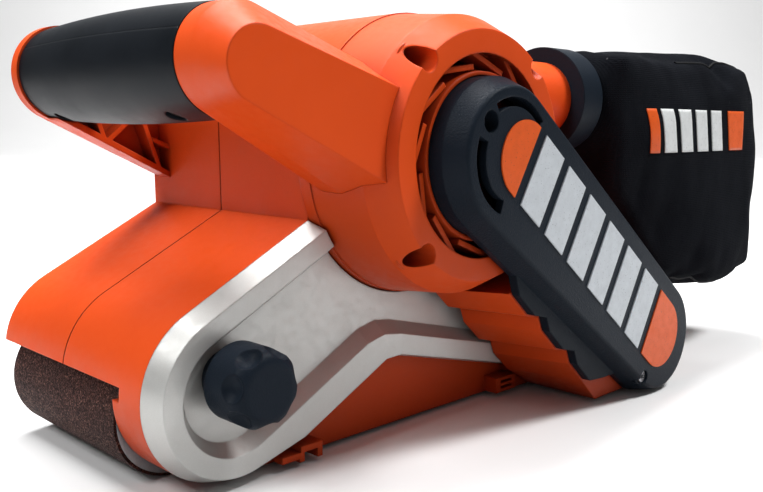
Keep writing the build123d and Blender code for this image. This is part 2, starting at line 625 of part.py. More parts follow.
# ---------------------------------------------------------------- motor
with BuildPart() as stator:
    ring(MOTOR, CORE_R, 24.8, 10.0, -34.0)
    for angle in (90, 270):
        with BuildSketch(at_y(11.0)) as gap:
            with Locations(on(MOTOR, 32.0, angle)):
                Rectangle(34.0, 9.0, rotation=angle - 90)
        extrude(gap.sketch, amount=46.0, mode=Mode.SUBTRACT)
save(stator.part, "stator")

with BuildPart() as stator_windings:
    ring(MOTOR, 36.0, 26.5, 18.0, 10.0)
    ring(MOTOR, 36.0, 26.5, -34.0, -42.0)
save(stator_windings.part, "stator_windings")

with BuildPart() as armature_core:
    ring(MOTOR, 24.2, 4.0, 8.0, -32.0)
    with BuildSketch(at_y(9.0)) as slots:
        with Locations(MOTOR):
            with PolarLocations(23.4, 12):
                Rectangle(5.0, 1.8)
    extrude(slots.sketch, amount=42.0, mode=Mode.SUBTRACT)
save(armature_core.part, "armature_core")

with BuildPart() as armature_windings:
    ring(MOTOR, 20.0, 4.0, 16.0, 8.0)
    ring(MOTOR, 20.0, 4.0, -32.0, -40.0)
save(armature_windings.part, "armature_windings")

with BuildPart() as commutator:
    ring(MOTOR, 12.0, 4.0, 30.0, 18.0)
    with BuildSketch(at_y(31.0)) as slots:
        with Locations(MOTOR):
            with PolarLocations(11.8, 24):
                Rectangle(1.6, 0.5)
    extrude(slots.sketch, amount=11.0, mode=Mode.SUBTRACT)
save(commutator.part, "commutator")

with BuildPart() as motor_shaft:
    disc(MOTOR, 4.0, 40.6, -102.6)
save(motor_shaft.part, "motor_shaft")

with BuildPart() as fan:
    ring(MOTOR, 9.0, 4.0, -58.0, -72.0)
    ring(MOTOR, 34.0, 8.0, -70.4, -72.0)
    for index in range(11):
        turn = index * 360 / 11
        with BuildSketch(at_y(-60.0)) as blade:
            with Locations(on(MOTOR, 21.0, turn)):
                Rectangle(25.0, 1.6, rotation=turn + 20)
        extrude(blade.sketch, amount=11.0)
save(fan.part, "fan")

with BuildPart() as motor_bearings:
    ring(MOTOR, 11.0, 4.0, 41.0, 34.0)
    ring(MOTOR, 11.0, 4.0, -77.0, -84.0)
save(motor_bearings.part, "motor_bearings")

with BuildPart() as brush_holders:
    for side in (-1, 1):
        inner = MOTOR[0] + side * 14.0
        outer = MOTOR[0] + side * 44.0
        lo, hi = min(inner, outer), max(inner, outer)
        box(lo, hi, 20.6, 29.4, MOTOR[1] - 4.4, MOTOR[1] + 4.4)
        box(lo, hi, 22.4, 27.6, MOTOR[1] - 2.6, MOTOR[1] + 2.6, Mode.SUBTRACT)
save(brush_holders.part, "brush_holders")

with BuildPart() as brushes:
    for side in (-1, 1):
        inner = MOTOR[0] + side * 12.1
        outer = MOTOR[0] + side * 26.0
        box(min(inner, outer), max(inner, outer), 22.5, 27.5, MOTOR[1] - 2.5, MOTOR[1] + 2.5)
save(brushes.part, "brushes")

# ---------------------------------------------------------------- toothed belt drive
MOTOR_PULLEY_R = 6.2
DRIVE_PULLEY_R = 13.5


def pulley(centre, radius, bore):
    """Toothed pulley with two flanges."""
    ring(centre, radius, bore, -93.6, -101.4)
    ring(centre, radius + 1.4, bore, -92.7, -93.6)
    ring(centre, radius + 1.4, bore, -101.4, -102.3)
    teeth = round(radius * 2.1)
    for index in range(teeth):
        with BuildSketch(at_y(-93.6)) as notch:
            with Locations(on(centre, radius, index * 360 / teeth)):
                Rectangle(1.2, 0.9, rotation=index * 360 / teeth)
        extrude(notch.sketch, amount=7.8, mode=Mode.SUBTRACT)


with BuildPart() as motor_pulley:
    pulley(MOTOR, MOTOR_PULLEY_R, 4.0)
save(motor_pulley.part, "motor_pulley")

with BuildPart() as drive_pulley:
    pulley(REAR, DRIVE_PULLEY_R, 5.0)
save(drive_pulley.part, "drive_pulley")

with BuildPart() as timing_belt:
    hull(MOTOR, MOTOR_PULLEY_R + 1.7, REAR, DRIVE_PULLEY_R + 1.7, -93.8, -101.2)
    hull(MOTOR, MOTOR_PULLEY_R + 0.03, REAR, DRIVE_PULLEY_R + 0.03, -93.0, -102.0, Mode.SUBTRACT)
save(timing_belt.part, "timing_belt")

# ---------------------------------------------------------------- rollers, chassis and platen
with BuildPart() as drive_roller:
    ring(REAR, ROLL_R, 5.0, BELT_W / 2, -BELT_W / 2)
    for y in (BELT_W / 2, -BELT_W / 2 + 4):
        ring(REAR, 17.0, 9.0, y, y - 4, Mode.SUBTRACT)
save(drive_roller.part, "drive_roller")

with BuildPart() as drive_shaft:
    disc(REAR, 5.0, 43.8, -102.6)
save(drive_shaft.part, "drive_shaft")

with BuildPart() as drive_bearings:
    ring(REAR, 9.5, 5.0, 43.9, 39.2)
    ring(REAR, 13.0, 5.0, -52.2, -60.4)
save(drive_bearings.part, "drive_bearings")

with BuildPart() as chassis:
    box(-60.0, 76.0, -43.2, -36.0, 4.4, 38.0)
    box(-72.0, 76.0, -36.0, 36.0, 4.4, 8.4)
    box(-56.0, -50.0, -36.0, 22.0, 8.4, 36.0)
    box(4.0, 9.0, -36.0, 30.0, 8.4, 36.0)
    box(70.0, 76.0, -36.0, 38.9, 8.4, 36.0)
    box(42.0, 70.0, 32.0, 38.9, 8.4, 34.0)
    rod((0.0, AXLE_Z), -58.0, -14.0, 11.5)
    hull((54.0, AXLE_Z), 12.0, REAR, 13.0, 44.0, 38.9)
    disc(REAR, 9.5, 45.0, 39.2, Mode.SUBTRACT)
    disc(REAR, 6.5, 45.0, 38.0, Mode.SUBTRACT)
    rod((0.0, AXLE_Z), -59.0, -44.0, 9.2, Mode.SUBTRACT)
    rod((0.0, AXLE_Z), -60.0, -16.0, 5.0 + FIT, Mode.SUBTRACT)
    disc(REAR, ROLL_R + 0.8, 38.8, -45.0, Mode.SUBTRACT)
save(chassis.part, "chassis")

with BuildPart() as platen_cushion:
    box(-72.0, 75.0, -37.0, 37.0, 1.9, 4.35)
save(platen_cushion.part, "platen_cushion")

with BuildPart() as wear_plate:
    box(-74.0, 77.0, -38.0, 38.0, 1.05, 1.85)
save(wear_plate.part, "wear_plate")

with BuildPart() as sanding_belt:
    hull(FRONT, LOOP_R, REAR, LOOP_R, BELT_W / 2, -BELT_W / 2)
    hull(FRONT, LOOP_R - BELT_T, REAR, LOOP_R - BELT_T, BELT_W / 2 + 1, -BELT_W / 2 - 1, Mode.SUBTRACT)
save(sanding_belt.part, "sanding_belt")

with BuildPart() as front_roller:
    ring(FRONT, ROLL_R, 4.0 + FIT, BELT_W / 2, -BELT_W / 2)
    for y in (BELT_W / 2, -BELT_W / 2 + 3):
        ring(FRONT, 16.5, 8.0, y, y - 3, Mode.SUBTRACT)
save(front_roller.part, "front_roller")

with BuildPart() as front_axle:
    disc(FRONT, 4.0, 42.6, -42.6)
save(front_axle.part, "front_axle")

with BuildPart() as yoke:
    box(-78.0, -70.0, -42.6, 42.6, 14.0, 29.0)
    for y in (42.6, -38.6):
        hull((-74.0, AXLE_Z), 7.5, FRONT, 8.0, y, y - 4.0)
    rod((0.0, AXLE_Z), -70.0, -24.0, 5.0)
    disc(FRONT, 4.0, 44.0, -44.0, Mode.SUBTRACT)
save(yoke.part, "yoke")

with BuildPart() as tension_spring:
    with BuildLine() as coil:
        Helix(pitch=3.8, height=22.0, radius=7.3, center=(-68.8, 0.0, AXLE_Z), direction=(1, 0, 0))
    with BuildSketch(Plane(origin=coil.line @ 0, z_dir=coil.line % 0)) as wire:
        Circle(0.9)
    sweep(wire.sketch, path=coil.line)
save(tension_spring.part, "tension_spring")

LEVER_PIN = (-38.0, 34.0)

with BuildPart() as tension_lever:
    with BuildSketch(Plane.XY.offset(15.0)) as lever_shape:
        with Locations(LEVER_PIN):
            Circle(7.0)
        with Locations((-10.0, 40.2)):
            Rectangle(56.0, 4.4)
        with Locations(LEVER_PIN):
            Circle(3.0 + FIT, mode=Mode.SUBTRACT)
    extrude(lever_shape.sketch, amount=13.0)
    fillet(tension_lever.edges().filter_by(Axis.Z).group_by(Axis.X)[-1], 1.8)
save(tension_lever.part, "tension_lever")

with BuildPart() as lever_pin:
    with Locations((LEVER_PIN[0], LEVER_PIN[1], 8.4)):
        Cylinder(3.0, 21.6, align=(Align.CENTER, Align.CENTER, Align.MIN))
    with Locations((LEVER_PIN[0], LEVER_PIN[1], 28.4)):
        Cylinder(5.0, 1.6, align=(Align.CENTER, Align.CENTER, Align.MIN))
save(lever_pin.part, "lever_pin")

# ---------------------------------------------------------------- rear handle controls
with BuildPart() as trigger:
    block([(67.0, 122.0), (67.0, 112.0), (72.0, 106.5), (84.0, 104.5), (96.0, 108.0), (103.0, 114.0),
           (103.6, 122.0), (101.5, 125.6), (96.0, 126.0), (90.0, 123.0)], Y_SPLIT + 7.4, Y_SPLIT - 7.4)
    fillet(trigger.edges().filter_by(Axis.Y).sort_by(Axis.Z)[0:3], 1.5)
    disc(TRIGGER_PIVOT, 2.0 + FIT, Y_SPLIT + 9, Y_SPLIT - 9, Mode.SUBTRACT)
save(trigger.part, "trigger")

with BuildPart() as trigger_pin:
    disc(TRIGGER_PIVOT, 2.0, Y_SPLIT + HANDLE_HALF - WALL, Y_SPLIT - HANDLE_HALF + WALL)
save(trigger_pin.part, "trigger_pin")

with BuildPart() as lock_button:
    disc(LOCK_AT, 4.0, Y_SPLIT - 10.0, Y_SPLIT - HANDLE_HALF - 4.0)
    chamfer(lock_button.faces().sort_by(Axis.Y)[0].edges(), 0.8)
save(lock_button.part, "lock_button")

with BuildPart() as speed_dial:
    disc(DIAL_AT, 10.0, Y_SPLIT + 4.0, Y_SPLIT - 4.0)
    with BuildSketch(at_y(Y_SPLIT + 4.0)) as grooves:
        with Locations(DIAL_AT):
            with PolarLocations(10.0, 24):
                Rectangle(1.0, 0.9)
    extrude(grooves.sketch, amount=8.0, mode=Mode.SUBTRACT)
    disc(DIAL_AT, 2.0 + FIT, Y_SPLIT + 5.0, Y_SPLIT - 5.0, Mode.SUBTRACT)
save(speed_dial.part, "speed_dial")

with BuildPart() as dial_pin:
    disc(DIAL_AT, 2.0, Y_SPLIT + HANDLE_HALF - WALL, Y_SPLIT - HANDLE_HALF + WALL)
save(dial_pin.part, "dial_pin")

with BuildPart() as switch_module:
    box(65.0, 96.0, Y_SPLIT - 7.0, Y_SPLIT + 7.0, 128.4, 140.4)
    box(72.0, 76.0, Y_SPLIT - 2.0, Y_SPLIT + 2.0, 127.4, 128.4)
save(switch_module.part, "switch_module")

with BuildPart() as cord_gland:
    rod(GLAND_AT, 145.0, 158.4, 6.0)
    rod(GLAND_AT, 154.8, 158.4, 8.0)
    chamfer(cord_gland.edges().filter_by(GeomType.CIRCLE).group_by(Axis.X)[-1], 1.5)
    rod(GLAND_AT, 140.0, 160.0, 3.6, Mode.SUBTRACT)
save(cord_gland.part, "cord_gland")

# ---------------------------------------------------------------- dust outlet, adapter and bag
with BuildPart() as dust_outlet:
    rod(OUTLET, 20.0, 70.0, OUTLET_R)
    rod(OUTLET, 10.0, 80.0, OUTLET_R - 2.4, Mode.SUBTRACT)
    turned([(0.0, 0.0), (51.2, 0.0), (51.2, Y_BODY), (49.2, -84.4), (0.0, -84.4)], Mode.SUBTRACT)
save(dust_outlet.part, "dust_outlet")

with BuildPart() as dust_adapter:
    rod(OUTLET, 52.0, 72.0, OUTLET_R - 2.4 - FIT)
    rod(OUTLET, 70.0, 85.0, 22.5)
    chamfer(dust_adapter.edges().filter_by(GeomType.CIRCLE).group_by(Axis.X)[-1], 1.0)
    rod(OUTLET, 50.0, 90.0, 11.5, Mode.SUBTRACT)
save(dust_adapter.part, "dust_adapter")

with BuildPart() as bag_ring:
    rod(OUTLET, 85.0, 91.0, 20.5)
    rod(OUTLET, 80.0, 95.0, 14.0, Mode.SUBTRACT)
save(bag_ring.part, "bag_ring")

with BuildPart() as dust_bag:
    block([(91.0, 149.0), (91.0, 84.0), (108.0, 64.0), (134.0, 40.0), (202.0, 30.0),
           (233.0, 38.0), (232.0, 103.0), (214.0, 149.0)], -34.0, -90.0)
    fillet(dust_bag.edges().filter_by(Axis.Y), 8.0)
    fillet(dust_bag.faces().sort_by(Axis.Y)[0].edges(), 7.0)
    fillet(dust_bag.faces().sort_by(Axis.Y)[-1].edges(), 7.0)
save(dust_bag.part, "dust_bag")

# ---------------------------------------------------------------- screws
with BuildPart() as housing_screws:
    for spot in BOSS_AT:
        screw(spot, Y_RIGHT - 9.0, 3.6, 3.0, 1.6, 58.0, -1)
save(housing_screws.part, "housing_screws")

with BuildPart() as cap_screws:
    for spot in CAP_SCREWS:
        screw(spot, -81.0, 3.6, 3.0, 1.6, 30.0, 1)
save(cap_screws.part, "cap_screws")

with BuildPart() as cover_screws:
    for spot, radius, y in zip(COVER_SCREWS, (3.4, 2.5), COVER_SCREW_Y):
        screw(spot, y, radius, 2.0, 1.6, 16.0, 1)
save(cover_screws.part, "cover_screws")

with BuildPart() as grip_screws:
    for y in GRIP_SCREWS:
        with Locations(Plane(origin=on3(GRIP, 16.0, GRIP_SCREW_WAY, y), z_dir=away(GRIP_SCREW_WAY))):
            Cylinder(3.0, 1.5)
        with Locations(Plane(origin=on3(GRIP, 10.3, GRIP_SCREW_WAY, y), z_dir=away(GRIP_SCREW_WAY))):
            Cylinder(1.5, 10.0)
save(grip_screws.part, "grip_screws")
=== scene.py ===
"""Looks of the handheld belt sander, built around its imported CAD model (metres, +Z up)."""

import json
from math import cos, pi, radians, sin

import bmesh
import bpy
from mathutils import Matrix, Vector, noise
from mathutils.bvhtree import BVHTree


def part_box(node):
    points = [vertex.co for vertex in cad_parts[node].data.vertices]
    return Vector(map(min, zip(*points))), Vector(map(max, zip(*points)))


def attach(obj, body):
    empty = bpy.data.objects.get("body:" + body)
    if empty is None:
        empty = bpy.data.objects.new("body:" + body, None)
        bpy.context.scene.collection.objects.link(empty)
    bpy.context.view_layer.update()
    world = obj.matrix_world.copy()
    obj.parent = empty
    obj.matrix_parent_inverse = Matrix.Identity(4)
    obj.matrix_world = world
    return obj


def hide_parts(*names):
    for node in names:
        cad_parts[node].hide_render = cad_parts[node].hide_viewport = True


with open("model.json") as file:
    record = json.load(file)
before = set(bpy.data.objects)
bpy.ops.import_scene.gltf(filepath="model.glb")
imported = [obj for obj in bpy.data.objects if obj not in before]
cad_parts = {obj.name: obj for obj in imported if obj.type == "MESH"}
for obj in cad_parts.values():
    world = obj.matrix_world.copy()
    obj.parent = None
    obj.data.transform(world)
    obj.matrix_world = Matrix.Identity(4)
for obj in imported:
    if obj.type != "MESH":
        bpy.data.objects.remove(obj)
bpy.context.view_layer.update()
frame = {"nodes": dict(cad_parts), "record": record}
NODES = frame["nodes"]
SCENE = bpy.context.scene

# ---------------------------------------------------------------- colours (linear)
ORANGE = (0.84, 0.088, 0.010, 1.0)
ORANGE_DEEP = (0.72, 0.064, 0.008, 1.0)
LABEL_ORANGE = (0.84, 0.115, 0.012, 1.0)
LABEL_GREY = (0.66, 0.70, 0.74, 1.0)
BLACK = (0.010, 0.015, 0.023, 1.0)
BLACK_WORN = (0.020, 0.026, 0.036, 1.0)
RUBBER = (0.005, 0.007, 0.010, 1.0)
RUBBER_GREY = (0.014, 0.017, 0.022, 1.0)
SILVER = (0.56, 0.56, 0.54, 1.0)
SILVER_LIGHT = (0.70, 0.71, 0.70, 1.0)
STEEL = (0.36, 0.36, 0.37, 1.0)
STEEL_DARK = (0.13, 0.13, 0.14, 1.0)
ALUMINIUM = (0.40, 0.40, 0.41, 1.0)
ALUMINIUM_DULL = (0.26, 0.26, 0.27, 1.0)
COPPER = (0.74, 0.29, 0.12, 1.0)
COPPER_DARK = (0.30, 0.08, 0.03, 1.0)
BRASS = (0.72, 0.52, 0.20, 1.0)
GRIT_DARK = (0.014, 0.005, 0.004, 1.0)
GRIT_BROWN = (0.085, 0.026, 0.018, 1.0)
GRIT_PALE_AND_GLINT = (0.20, 0.085, 0.060, 1.0)
CLOTH = (0.0036, 0.0042, 0.0062, 1.0)
CLOTH_PAINTED_SHEEN = (0.0100, 0.0112, 0.0145, 1.0)
LINT = (0.22, 0.22, 0.23, 1.0)
PRINT_WHITE = (0.78, 0.80, 0.80, 1.0)
# painted shade: colours laid into corners, recesses and surfaces turned from the light
SHADE_ORANGE = (0.16, 0.012, 0.004, 1.0)
CORNER_SHADE_ORANGE = (0.20, 0.016, 0.005, 1.0)
CORNER_SHADE_SILVER = (0.15, 0.14, 0.13, 1.0)
RUBBED_RUBBER = (0.034, 0.039, 0.046, 1.0)
SHEET_STEEL = (0.33, 0.33, 0.34, 1.0)
SHEET_STAIN = (0.10, 0.07, 0.05, 1.0)
CORK_DARK = (0.10, 0.055, 0.03, 1.0)
CORK_PALE = (0.34, 0.21, 0.12, 1.0)
PAPER_WHITE = (0.92, 0.92, 0.92, 1.0)
PAPER_BRIGHT = (0.95, 0.95, 0.95, 1.0)
PAPER_BOUNCE = (0.42, 0.42, 0.42, 1.0)   # the paper throws back less light than it shows


# ---------------------------------------------------------------- node helpers
def new_look(name):
    """Empty node material: its tree and its Principled shader."""
    material = bpy.data.materials.new(name)
    material.use_nodes = True
    return material, material.node_tree, material.node_tree.nodes["Principled BSDF"]


def add(tree, kind, settings=None, **inputs):
    """Add a shader node, with its settings, and its inputs given as values or as sockets."""
    node = tree.nodes.new("ShaderNode" + kind)
    for name, value in (settings or {}).items():
        setattr(node, name, value)
    for name, value in inputs.items():
        feed(tree, node.inputs[name.replace("_", " ")], value)
    return node


def feed(tree, socket, value):
    """Give a socket a value, or link another socket to it."""
    if isinstance(value, bpy.types.NodeSocket):
        tree.links.new(value, socket)
    else:
        socket.default_value = value


def place(tree, stretch=(1, 1, 1), turn=(0, 0, 0)):
    """Coordinates fixed to the piece, in metres, stretched and turned."""
    coords = add(tree, "TexCoord")
    mapping = add(tree, "Mapping", Vector=coords.outputs["Object"])
    mapping.inputs["Scale"].default_value = stretch
    mapping.inputs["Rotation"].default_value = turn
    return mapping.outputs["Vector"]


def speckle(tree, where, scale, detail=3.0, roughness=0.5):
    """Soft noise from 0 to 1; scale is in cells per metre."""
    node = add(tree, "TexNoise", Vector=where, Scale=scale, Detail=detail, Roughness=roughness)
    return node.outputs["Fac"]


def grains(tree, where, scale):
    """Cell pattern; scale is in cells per metre."""
    return add(tree, "TexVoronoi", Vector=where, Scale=scale)


def level(tree, value, low, high, to_low=0.0, to_high=1.0):
    """Map a value from one range to another, clamped."""
    node = add(tree, "MapRange", Value=value, From_Min=low, From_Max=high, To_Min=to_low, To_Max=to_high)
    return node.outputs["Result"]


def blend(tree, share, first, second):
    """Mix two colours."""
    node = add(tree, "Mix", {"data_type": "RGBA"})
    feed(tree, node.inputs[0], share)
    feed(tree, node.inputs[6], first)
    feed(tree, node.inputs[7], second)
    return node.outputs[2]


def math(tree, operation, first, second=0.0):
    """One arithmetic step."""
    node = add(tree, "Math", {"operation": operation})
    feed(tree, node.inputs[0], first)
    feed(tree, node.inputs[1], second)
    return node.outputs[0]


def relief(tree, shader, layers, edge=0.0):
    """Rounded edges of a given radius, then bump layers, each (height, strength, depth in metres)."""
    normal = None
    if edge:
        normal = add(tree, "Bevel", {"samples": 4}, Radius=edge).outputs["Normal"]
    for height, strength, depth in layers:
        bump = add(tree, "Bump", Height=height, Strength=strength, Distance=depth)
        if normal is not None:
            tree.links.new(normal, bump.inputs["Normal"])
        normal = bump.outputs["Normal"]
    tree.links.new(normal, shader.inputs["Normal"])


def painted_shade_in_corners(tree, colour, shade, reach=0.006, amount=0.55):
    """Painted shade: darken a colour where surfaces meet, as shade falls there."""
    corner = add(tree, "AmbientOcclusion", {"samples": 6}, Distance=reach).outputs["AO"]
    return blend(tree, level(tree, corner, 0.15, 0.95, amount, 0.0), colour, shade)


# ---------------------------------------------------------------- materials
def moulded_orange():
    """Orange nylon housing: fine spark-eroded grain and a satin face."""
    material, tree, shader = new_look("moulded_orange")
    where = place(tree)
    cloud = speckle(tree, where, 22.0, 4.0)
    colour = blend(tree, level(tree, cloud, 0.3, 0.75, 0.0, 0.35), ORANGE, ORANGE_DEEP)
    # painted shade: a broad darkening of recesses and undersides in place of bounce light, then a tight
    # painted shade in the corners
    colour = painted_shade_in_corners(tree, colour, SHADE_ORANGE, reach=0.040, amount=0.6)
    colour = painted_shade_in_corners(tree, colour, CORNER_SHADE_ORANGE)
    feed(tree, shader.inputs["Base Color"], colour)
    grain = speckle(tree, where, 2600.0, 2.0)
    feed(tree, shader.inputs["Roughness"], level(tree, speckle(tree, where, 300.0), 0.3, 0.7, 0.36, 0.50))
    feed(tree, shader.inputs["Specular IOR Level"], 0.16)
    relief(tree, shader, [(cloud, 0.05, 0.004), (grain, 0.22, 0.00012)], edge=0.0009)
    return material


def textured_black(name="textured_black", gloss=0.34, sparkle=0.5):
    """Black moulding with a coarse leather-like spark grain that glitters in the light."""
    material, tree, shader = new_look(name)
    where = place(tree)
    pebbles = grains(tree, where, 1500.0).outputs["Distance"]
    fine = speckle(tree, where, 3200.0, 2.0)
    scuffs = speckle(tree, place(tree, (1.0, 0.25, 1.0), (0.4, 0.2, 0.9)), 130.0, 6.0, 0.7)
    colour = blend(tree, level(tree, scuffs, 0.62, 0.80, 0.0, 0.45), BLACK, BLACK_WORN)
    feed(tree, shader.inputs["Base Color"], colour)
    feed(tree, shader.inputs["Roughness"], level(tree, fine, 0.3, 0.7, gloss - 0.06, gloss + 0.14))
    feed(tree, shader.inputs["Specular IOR Level"], 0.06)
    relief(tree, shader, [(pebbles, sparkle * 0.55, 0.00025), (fine, sparkle, 0.00014)], edge=0.0009)
    return material


def soft_rubber():
    """Soft-touch sleeve: matt, with a pale bloom and a few rubbed streaks."""
    material, tree, shader = new_look("soft_rubber")
    where = place(tree)
    bloom = speckle(tree, where, 45.0, 5.0, 0.65)
    streaks = speckle(tree, place(tree, (3.0, 0.3, 3.0)), 120.0, 5.0, 0.7)
    colour = blend(tree, level(tree, bloom, 0.35, 0.75, 0.0, 0.5), RUBBER, RUBBER_GREY)
    colour = blend(tree, level(tree, streaks, 0.66, 0.82, 0.0, 0.5), colour, RUBBED_RUBBER)
    feed(tree, shader.inputs["Base Color"], colour)
    feed(tree, shader.inputs["Roughness"], level(tree, bloom, 0.3, 0.7, 0.38, 0.50))
    feed(tree, shader.inputs["Specular IOR Level"], 0.08)
    grain = speckle(tree, where, 2400.0, 3.0)
    relief(tree, shader, [(grain, 0.35, 0.00012)], edge=0.0010)
    return material


def silver_paint():
    """Silver enamel with metal flake and a faint orange-peel surface."""
    material, tree, shader = new_look("silver_paint")
    where = place(tree)
    flake = grains(tree, where, 5200.0).outputs["Color"]
    flake_level = add(tree, "SeparateColor", Color=flake).outputs["Red"]
    colour = blend(tree, level(tree, flake_level, 0.55, 1.0, 0.0, 0.22), SILVER, SILVER_LIGHT)
    rubbed = speckle(tree, place(tree, (1.0, 1.0, 0.35), (0.0, 0.5, 0.0)), 60.0, 5.0, 0.6)
    colour = blend(tree, level(tree, rubbed, 0.45, 0.75, 0.0, 0.25), colour, SILVER_LIGHT)
    # painted shade in the corners of the silver plate
    colour = painted_shade_in_corners(tree, colour, CORNER_SHADE_SILVER, reach=0.005, amount=0.5)
    feed(tree, shader.inputs["Base Color"], colour)
    feed(tree, shader.inputs["Metallic"], 0.35)
    peel = speckle(tree, where, 420.0, 2.0)
    feed(tree, shader.inputs["Roughness"], level(tree, peel, 0.3, 0.7, 0.34, 0.46))
    relief(tree, shader, [(peel, 0.05, 0.0004), (speckle(tree, where, 2500.0), 0.04, 0.0001)], edge=0.0007)
    return material


def printed(name, ink):
    """Printed label film: satin ink with a faint screen and tiny pinholes."""
    material, tree, shader = new_look(name)
    where = place(tree)
    mottle = speckle(tree, where, 260.0, 4.0, 0.6)
    pinholes = speckle(tree, where, 1900.0, 1.0)
    dark = tuple(0.8 * c for c in ink[:3]) + (1.0,)
    colour = blend(tree, level(tree, mottle, 0.35, 0.7, 0.0, 0.5), ink, dark)
    colour = blend(tree, level(tree, pinholes, 0.70, 0.74, 0.0, 0.6), colour, BLACK_WORN)
    feed(tree, shader.inputs["Base Color"], colour)
    feed(tree, shader.inputs["Roughness"], level(tree, mottle, 0.3, 0.7, 0.34, 0.48))
    feed(tree, shader.inputs["Specular IOR Level"], 0.25)
    relief(tree, shader, [(speckle(tree, where, 1400.0), 0.10, 0.0001)])
    return material


def metal(name, light, dark, stretch, gloss):
    """Machined metal: fine lines along the cut, stains and small dents."""
    material, tree, shader = new_look(name)
    lines = speckle(tree, place(tree, stretch), 500.0, 4.0, 0.6)
    stains = speckle(tree, place(tree), 60.0, 5.0, 0.65)
    colour = blend(tree, level(tree, stains, 0.4, 0.75, 0.0, 0.6), light, dark)
    feed(tree, shader.inputs["Base Color"], colour)
    feed(tree, shader.inputs["Metallic"], 1.0)
    feed(tree, shader.inputs["Roughness"], level(tree, lines, 0.3, 0.7, gloss, gloss + 0.16))
    relief(tree, shader, [(lines, 0.20, 0.00008), (stains, 0.05, 0.0006)], edge=0.0004)
    return material


def cast_metal():
    """Die-cast aluminium: grey skin with a sandy surface."""
    material, tree, shader = new_look("cast_metal")
    where = place(tree)
    skin = speckle(tree, where, 90.0, 5.0, 0.6)
    sand = speckle(tree, where, 1500.0, 3.0)
    colour = blend(tree, level(tree, skin, 0.35, 0.7), ALUMINIUM_DULL, ALUMINIUM)
    # painted shade in the corners, in dark steel grey
    feed(tree, shader.inputs["Base Color"], painted_shade_in_corners(tree, colour, STEEL_DARK))
    feed(tree, shader.inputs["Metallic"], 1.0)
    feed(tree, shader.inputs["Roughness"], level(tree, sand, 0.3, 0.7, 0.42, 0.62))
    relief(tree, shader, [(sand, 0.4, 0.00018), (skin, 0.1, 0.001)], edge=0.0006)
    return material


def wound_copper():
    """Enamelled wire laid in rings, copper and varnish in turn."""
    material, tree, shader = new_look("wound_copper")
    where = place(tree)
    wires = add(tree, "TexWave", {"wave_type": "RINGS", "rings_direction": "Y"}, Vector=where, Scale=230.0,
                Distortion=0.8, Detail=2.0).outputs["Fac"]
    colour = blend(tree, wires, COPPER_DARK, COPPER)
    feed(tree, shader.inputs["Base Color"], colour)
    feed(tree, shader.inputs["Metallic"], 0.7)
    feed(tree, shader.inputs["Roughness"], level(tree, speckle(tree, where, 400.0), 0.3, 0.7, 0.26, 0.42))
    feed(tree, shader.inputs["Coat Weight"], 0.5)
    relief(tree, shader, [(wires, 0.7, 0.0004)], edge=0.0006)
    return material


def stacked_sheet():
    """Laminated core: thin steel sheets side by side along the shaft."""
    material, tree, shader = new_look("stacked_sheet")
    where = place(tree)
    sheets = add(tree, "TexWave", {"bands_direction": "Y"}, Vector=where, Scale=320.0).outputs["Fac"]
    stains = speckle(tree, where, 120.0, 5.0, 0.6)
    colour = blend(tree, sheets, STEEL_DARK, SHEET_STEEL)
    colour = blend(tree, level(tree, stains, 0.5, 0.8), colour, SHEET_STAIN)
    feed(tree, shader.inputs["Base Color"], colour)
    feed(tree, shader.inputs["Metallic"], 1.0)
    feed(tree, shader.inputs["Roughness"], level(tree, stains, 0.3, 0.7, 0.40, 0.60))
    relief(tree, shader, [(sheets, 0.5, 0.0002)], edge=0.0004)
    return material


def abrasive_cloth():
    """Closed coat of brown grit with glinting facets."""
    material, tree, shader = new_look("abrasive_cloth")
    where = place(tree)
    cells = grains(tree, where, 2100.0)
    tone = add(tree, "SeparateColor", Color=cells.outputs["Color"]).outputs["Red"]
    small = grains(tree, where, 4200.0).outputs["Distance"]
    colour = blend(tree, level(tree, tone, 0.2, 0.9), GRIT_DARK, GRIT_BROWN)
    # the palest grains are also the smoothest: partly the grains' own pale colour, partly a painted glint
    colour = blend(tree, level(tree, tone, 0.90, 0.96, 0.0, 0.8), colour, GRIT_PALE_AND_GLINT)
    blotch = speckle(tree, where, 35.0, 4.0)
    colour = blend(tree, level(tree, blotch, 0.4, 0.7, 0.0, 0.35), colour, GRIT_DARK)
    feed(tree, shader.inputs["Base Color"], colour)
    feed(tree, shader.inputs["Roughness"], level(tree, tone, 0.0, 1.0, 0.80, 0.50))
    feed(tree, shader.inputs["Specular IOR Level"], 0.12)
    height = math(tree, "SUBTRACT", 1.0, cells.outputs["Distance"])
    relief(tree, shader, [(height, 0.8, 0.00035), (small, 0.5, 0.0002)])
    return material


